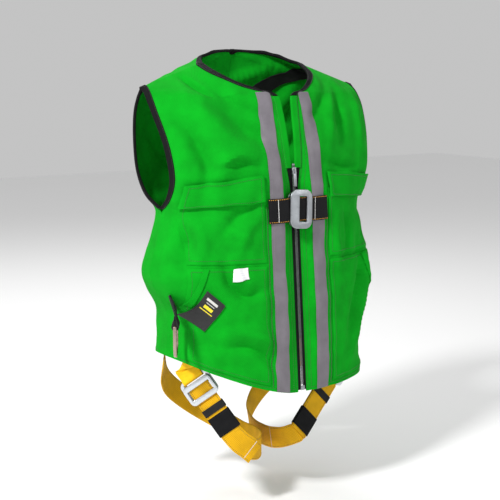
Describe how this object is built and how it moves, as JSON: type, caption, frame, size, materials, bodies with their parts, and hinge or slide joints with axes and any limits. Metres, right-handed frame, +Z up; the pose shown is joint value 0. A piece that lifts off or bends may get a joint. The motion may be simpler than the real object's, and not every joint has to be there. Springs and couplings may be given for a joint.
{
  "type": "safety harness vest",
  "caption": "Sleeveless zip-front hi-vis mesh vest worn over a fall-arrest harness, with chest buckle, D-rings, pockets and buckled leg straps.",
  "frame": {"origin": "middle of the shoulder line, halfway between the two shoulder tips", "axes": "+X towards the wearer's left, -Y towards the wearer's front, +Z up"},
  "size_m": [0.5022, 0.3053, 0.7716],
  "materials": {
    "mesh": "vivid green warp-knit mesh, matt",
    "binding": "black bias binding, matt",
    "tape": "silver-grey retroreflective tape, satin",
    "black": "black polyester webbing, matt",
    "zip": "black moulded zip",
    "yellow": "golden yellow polyester webbing",
    "steel": "zinc-plated steel",
    "bright": "bright plated steel",
    "label": "black woven label",
    "tag": "white woven tag"
  },
  "bodies": {
    "vest": {"vest_front_right": "mesh", "reflective_tape_front_right": "tape", "reflective_tape_back_right": "tape", "chest_pocket_right": "mesh", "lower_pocket_right": "mesh", "armhole_binding_right": "binding", "zipper_tape_right": "zip", "zipper_chain_right": "zip", "zipper_stop_right": "steel", "chest_strap_right": "black", "hip_strap_right": "black", "shoulder_strap_right": "black", "back_strap_right": "black", "leg_strap_right": "yellow", "leg_tail_right": "yellow", "leg_band_right": "black", "leg_buckle_link_right": "bright", "leg_upper_strap_right": "yellow", "pocket_welt_right": "mesh", "vest_front_left": "mesh", "reflective_tape_front_left": "tape", "reflective_tape_back_left": "tape", "chest_pocket_left": "mesh", "lower_pocket_left": "mesh", "armhole_binding_left": "binding", "zipper_tape_left": "zip", "zipper_chain_left": "zip", "zipper_stop_left": "steel", "chest_strap_left": "black", "hip_strap_left": "black", "shoulder_strap_left": "black", "back_strap_left": "black", "leg_strap_left": "yellow", "leg_tail_left": "yellow", "leg_band_left": "black", "leg_buckle_link_left": "bright", "leg_upper_strap_left": "yellow", "pocket_welt_left": "mesh", "vest_back": "mesh", "neck_binding": "binding", "zipper_box": "steel", "chest_buckle_link": "steel", "dorsal_plate": "black", "dorsal_strap": "black", "label_patch": "label", "size_tag": "tag"},
    "zip_slider": {"zipper_slider": "steel"},
    "zip_pull": {"zipper_pull": "steel"},
    "flap_right": {"pocket_flap_right": "mesh"},
    "flap_left": {"pocket_flap_left": "mesh"},
    "dorsal_ring": {"dorsal_d_ring": "steel"},
    "side_ring_right": {"side_d_ring_right": "steel"},
    "side_ring_left": {"side_d_ring_left": "steel"},
    "chest_frame": {"chest_buckle_frame": "steel"},
    "leg_frame_right": {"leg_buckle_frame_right": "bright"},
    "leg_frame_left": {"leg_buckle_frame_left": "bright"},
    "keeper_right": {"leg_keeper_right": "black"},
    "keeper_left": {"leg_keeper_left": "black"}
  },
  "joints": [
    {"name": "zip_slide", "type": "slide", "parent": "vest", "child": "zip_slider", "axis": [0, -0.0799, -0.9968], "range_m": [0, 0.39]},
    {"name": "zip_pull_hinge", "type": "hinge", "parent": "zip_slider", "child": "zip_pull", "pos_m": [0, -0.1433, -0.15952], "axis": [-1, 0, 0], "range_deg": [0, 150]},
    {"name": "flap_right_hinge", "type": "hinge", "parent": "vest", "child": "flap_right", "pos_m": [-0.14056, -0.13501, -0.17135], "axis": [-0.9317, 0.3475, -0.1059], "range_deg": [0, 150]},
    {"name": "flap_left_hinge", "type": "hinge", "parent": "vest", "child": "flap_left", "pos_m": [0.14056, -0.13501, -0.17135], "axis": [-0.9317, -0.3475, 0.1059], "range_deg": [0, 150]},
    {"name": "dorsal_ring_hinge", "type": "hinge", "parent": "vest", "child": "dorsal_ring", "pos_m": [0, 0.10996, -0.07], "axis": [1, 0, 0], "range_deg": [-2, 150]},
    {"name": "side_ring_right_hinge", "type": "hinge", "parent": "vest", "child": "side_ring_right", "pos_m": [-0.236, -0.11, -0.426], "axis": [0.557, 0.8305, 0], "range_deg": [-6, 40]},
    {"name": "side_ring_left_hinge", "type": "hinge", "parent": "vest", "child": "side_ring_left", "pos_m": [0.239, 0, -0.43], "axis": [0, -1, 0], "range_deg": [-6, 40]},
    {"name": "chest_frame_hinge", "type": "hinge", "parent": "vest", "child": "chest_frame", "pos_m": [0.028, -0.16168, -0.22864], "axis": [0, 0.0799, 0.9968], "range_deg": [0, 60]},
    {"name": "leg_frame_right_hinge", "type": "hinge", "parent": "vest", "child": "leg_frame_right", "pos_m": [-0.17582, -0.07345, -0.5458], "axis": [-0.6261, 0.5112, -0.5888], "range_deg": [0, 60]},
    {"name": "leg_frame_left_hinge", "type": "hinge", "parent": "vest", "child": "leg_frame_left", "pos_m": [0.15495, -0.08671, -0.55313], "axis": [-0.6779, 0.0599, 0.7327], "range_deg": [0, 60]},
    {"name": "keeper_right_slide", "type": "slide", "parent": "vest", "child": "keeper_right", "axis": [0.4298, -0.4038, -0.8076], "range_m": [-0.012, 0.004]},
    {"name": "keeper_left_slide", "type": "slide", "parent": "vest", "child": "keeper_left", "axis": [-0.7288, -0.1861, -0.659], "range_m": [-0.026, 0.035]}
  ]
}
